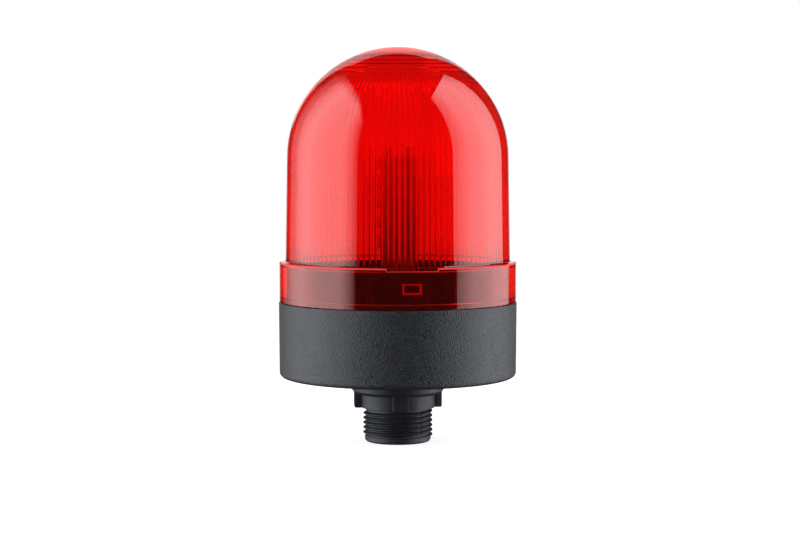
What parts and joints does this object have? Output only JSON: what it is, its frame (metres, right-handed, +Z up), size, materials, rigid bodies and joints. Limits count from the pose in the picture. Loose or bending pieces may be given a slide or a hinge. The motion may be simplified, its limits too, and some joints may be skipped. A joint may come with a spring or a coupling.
{
  "type": "led warning beacon",
  "caption": "Red LED warning beacon: fluted dome lens on a bayonet neck, black base cup, LED mast inside, threaded spigot with wire bore underneath for panel mounting.",
  "frame": {"origin": "on the beacon's axis, in the plane of the mounting face under the base", "axes": "+Z up along the axis towards the dome, -Y towards the front seen in the picture, +X to the right"},
  "size_m": [0.09, 0.09, 0.1492],
  "materials": {
    "red_lens": "clear red polycarbonate, polished outside",
    "grained_black": "fine even grain from the mould",
    "smooth_black": "smooth satin moulding",
    "seal_rubber": "matte",
    "plated_steel": "zinc plated",
    "board_green": "glass-fibre board with green solder resist",
    "board_white": "glass-fibre board, white solder resist along the LEDs and green beside them",
    "led_white": "white package with a clear window",
    "terminal_green": "moulded nylon",
    "black_epoxy": "moulded epoxy",
    "can_sleeve": "shrink sleeve over an aluminium can",
    "ferrite_grey": "ferrite with a shrink sleeve",
    "varistor_blue": "dipped epoxy"
  },
  "bodies": {
    "base": {"base_housing": "grained_black", "threaded_spigot": "smooth_black", "spigot_seal": "seal_rubber", "spigot_screws": "plated_steel", "control_board": "board_green", "board_screws": "plated_steel", "led_board_front": "board_white", "led_board_right": "board_white", "led_board_back": "board_white", "led_board_left": "board_white", "led_board_top": "board_white", "leds_front": "led_white", "leds_right": "led_white", "leds_back": "led_white", "leds_left": "led_white", "led_top": "led_white", "terminal_block": "terminal_green", "terminal_screws": "plated_steel", "terminal_clamps": "plated_steel", "bridge_rectifier": "black_epoxy", "filter_capacitor": "can_sleeve", "drum_inductor": "ferrite_grey", "driver_chip": "black_epoxy", "varistor": "varistor_blue", "chip_resistors": "black_epoxy"},
    "seal": {"lens_seal": "seal_rubber"},
    "lens": {"dome_lens": "red_lens"}
  },
  "joints": [
    {"name": "lens_lift", "type": "slide", "parent": "base", "child": "seal", "axis": [0, 0, 1], "range_m": [0, 0.065]},
    {"name": "lens_twist", "type": "hinge", "parent": "seal", "child": "lens", "pos_m": [0, 0, 0.0304], "axis": [0, 0, 1], "range_deg": [-14, 0]}
  ]
}
